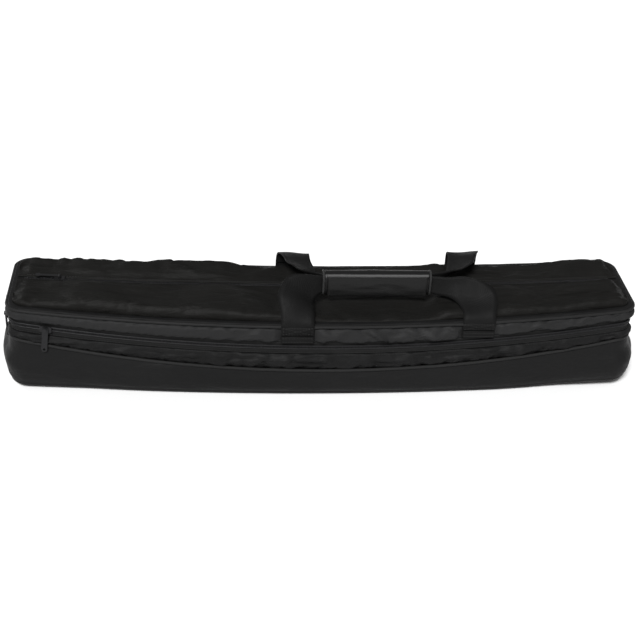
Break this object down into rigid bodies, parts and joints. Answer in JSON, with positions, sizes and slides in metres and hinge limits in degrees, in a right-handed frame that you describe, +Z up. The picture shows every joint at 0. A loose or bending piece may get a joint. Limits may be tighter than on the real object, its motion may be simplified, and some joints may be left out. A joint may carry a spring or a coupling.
{
  "type": "telescope carry case",
  "caption": "Long padded black cloth carry case: a soft tray and hinged lid closed by a zip round the front and ends, a flat zipped pocket on the lid, and webbing handles with a padded wrap.",
  "frame": {"origin": "on the resting face, under the middle of the case's length and depth", "axes": "+X along the case towards its right end seen from the front, -Y towards the zipped front, +Z up"},
  "size_m": [0.9594, 0.1855, 0.1856],
  "materials": {
    "cover_nylon": "dull woven nylon, slightly crinkled",
    "piping": "cloth piping, slight sheen",
    "foam": "closed-cell foam, matte",
    "board": "matte sheet",
    "lining": "brushed lining cloth",
    "zip_tape": "woven tape",
    "zip_coil": "satin moulded coil",
    "slider_metal": "black painted, satin",
    "webbing": "ribbed woven webbing",
    "wrap_vinyl": "smooth coated cloth with a soft gloss",
    "wrap_binding": "rolled binding with a soft gloss",
    "hook_and_loop": "hook-and-loop pile"
  },
  "bodies": {
    "tray": {"tray_cover": "cover_nylon", "base_board": "board", "base_foam": "foam", "front_foam": "foam", "back_foam": "foam", "left_end_foam": "foam", "right_end_foam": "foam", "tray_lining": "lining", "left_tie_strap": "hook_and_loop", "right_tie_strap": "hook_and_loop", "gusset_strip": "cover_nylon", "lower_welt": "piping", "lower_zip_tape": "zip_tape", "lower_zip_coil": "zip_coil", "hinge_cloth": "cover_nylon", "left_zip_tab": "zip_tape", "right_zip_tab": "zip_tape"},
    "lid": {"lid_top_panel": "cover_nylon", "lid_band": "cover_nylon", "upper_welt": "piping", "lid_foam": "foam", "lid_lining": "lining", "upper_zip_tape": "zip_tape", "upper_zip_coil": "zip_coil", "pocket_front_panel": "cover_nylon", "pocket_back_panel": "cover_nylon", "pocket_zip_tape": "zip_tape", "pocket_zip_coil": "zip_coil", "front_strap_end_left": "webbing", "front_strap_end_right": "webbing", "back_strap_end_left": "webbing", "back_strap_end_right": "webbing", "front_strap_left": "webbing", "front_strap_right": "webbing", "back_strap_left": "webbing", "back_strap_right": "webbing"},
    "grip": {"grip_wrap": "wrap_vinyl", "grip_end_bindings": "wrap_binding", "grip_webbing_front": "webbing", "grip_webbing_back": "webbing", "loop_strip": "hook_and_loop"},
    "flap": {"grip_flap": "wrap_vinyl", "flap_binding": "wrap_binding", "hook_strip": "hook_and_loop"},
    "front_slider": {"front_slider": "slider_metal"},
    "front_pull": {"front_pull": "slider_metal"},
    "end_slider": {"end_slider": "slider_metal"},
    "end_pull": {"end_pull": "slider_metal"},
    "pocket_slider": {"pocket_slider": "slider_metal"},
    "pocket_pull": {"pocket_pull": "slider_metal"}
  },
  "joints": [
    {"name": "lid_hinge", "type": "hinge", "parent": "tray", "child": "lid", "pos_m": [0, 0.089, 0.104], "axis": [-1, 0, 0], "range_deg": [0, 150], "deforming": ["hinge_cloth"]},
    {"name": "grip_lift", "type": "slide", "parent": "lid", "child": "grip", "axis": [0, 0, 1], "range_m": [0, 0.045], "deforming": ["front_strap_left", "front_strap_right", "back_strap_left", "back_strap_right"]},
    {"name": "flap_turn", "type": "hinge", "parent": "grip", "child": "flap", "pos_m": [0.076, -0.039, 0.148], "axis": [1, 0, 0], "range_deg": [0, 100]},
    {"name": "front_slider_run", "type": "hinge", "parent": "tray", "child": "front_slider", "pos_m": [0, 2.01412, 2.19062], "axis": [0, -0.7071, 0.7071], "range_deg": [0, 16.16]},
    {"name": "front_pull_swing", "type": "hinge", "parent": "front_slider", "child": "front_pull", "pos_m": [-0.4185, -0.0726, 0.1089], "axis": [-0.0994, -0.995, 0.005], "range_deg": [-80, 80]},
    {"name": "end_slider_run", "type": "slide", "parent": "tray", "child": "end_slider", "axis": [0, 1, 0], "range_m": [0, 0.084]},
    {"name": "end_pull_swing", "type": "hinge", "parent": "end_slider", "child": "end_pull", "pos_m": [-0.48, -0.034, 0.115], "axis": [-1, 0, 0], "range_deg": [-80, 80]},
    {"name": "pocket_slider_run", "type": "hinge", "parent": "lid", "child": "pocket_slider", "pos_m": [0, 0.024, 8.19304], "axis": [0, -1, 0], "range_deg": [0, 5.76]},
    {"name": "pocket_pull_turn", "type": "hinge", "parent": "pocket_slider", "child": "pocket_pull", "pos_m": [-0.40464, 0.024, 0.14527], "axis": [0, 1, 0], "range_deg": [0, 175]}
  ]
}
